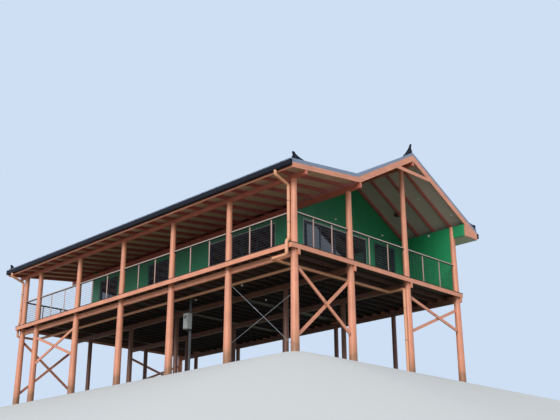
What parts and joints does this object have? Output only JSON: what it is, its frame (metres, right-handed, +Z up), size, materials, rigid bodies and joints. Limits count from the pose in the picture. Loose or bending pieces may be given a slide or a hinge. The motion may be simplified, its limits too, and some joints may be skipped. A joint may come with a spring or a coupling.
{
  "type": "stilt house",
  "caption": "Timber house raised on tall round poles, with open verandas, thin rod railings, a broken gable roof and sliding glass doors.",
  "frame": {"origin": "middle of the outer box at the level of the pole feet", "axes": "+X along the long front towards the near gable, +Y from the front veranda to the back, +Z up"},
  "size_m": [17.27, 10.24, 8.3618],
  "materials": {
    "timber": "stained",
    "floor_boards": "stained",
    "wall_boards": "painted",
    "veranda_lining": "painted",
    "main_lining": "painted",
    "roof_metal": "matt",
    "gutter_metal": "satin",
    "rail_paint": "satin",
    "steel": "plain",
    "pipe_paint": "painted",
    "meter_grey": "satin",
    "white_frame": "powder coated",
    "glass": "clear"
  },
  "bodies": {
    "house": {"front_poles": "timber", "gable_poles": "timber", "floor_posts": "timber", "bearers": "timber", "joists": "timber", "deck_rim": "timber", "house_floor": "floor_boards", "veranda_deck": "floor_boards", "side_wall": "wall_boards", "near_wall": "wall_boards", "door_heads": "wall_boards", "near_gable": "wall_boards", "far_wall": "wall_boards", "back_wall": "wall_boards", "wing_wall": "wall_boards", "roof_beams": "timber", "veranda_rafters": "timber", "main_rafters": "timber", "veranda_ceiling": "veranda_lining", "main_ceiling": "main_lining", "veranda_roof": "roof_metal", "main_roof": "roof_metal", "bargeboards": "timber", "barge_caps": "roof_metal", "gable_ties": "timber", "fascias": "timber", "gutters": "gutter_metal", "ridge_cap": "roof_metal", "finials": "gutter_metal", "eave_soffit": "timber", "front_railing": "rail_paint", "end_railings": "rail_paint", "falling_braces": "timber", "rising_braces": "timber", "tie_rods": "steel", "near_rain_pipe": "pipe_paint", "far_rain_pipe": "pipe_paint", "meter_box": "meter_grey", "door_frames": "white_frame", "fixed_leaves": "white_frame", "window_frames": "white_frame", "fixed_glass": "glass"},
    "side_leaf_far": {"side_leaf_far": "white_frame", "side_leaf_far_glass": "glass"},
    "side_leaf_near": {"side_leaf_near": "white_frame", "side_leaf_near_glass": "glass"},
    "near_leaf_front": {"near_leaf_front": "white_frame", "near_leaf_front_glass": "glass"},
    "near_leaf_back": {"near_leaf_back": "white_frame", "near_leaf_back_glass": "glass"}
  },
  "joints": [
    {"name": "side_leaf_far_slide", "type": "slide", "parent": "house", "child": "side_leaf_far", "axis": [-1, 0, 0], "range_m": [0, 0.825]},
    {"name": "side_leaf_near_slide", "type": "slide", "parent": "house", "child": "side_leaf_near", "axis": [1, 0, 0], "range_m": [0, 0.825]},
    {"name": "near_leaf_front_slide", "type": "slide", "parent": "house", "child": "near_leaf_front", "axis": [0, -1, 0], "range_m": [0, 0.775]},
    {"name": "near_leaf_back_slide", "type": "slide", "parent": "house", "child": "near_leaf_back", "axis": [0, 1, 0], "range_m": [0, 0.775]}
  ]
}
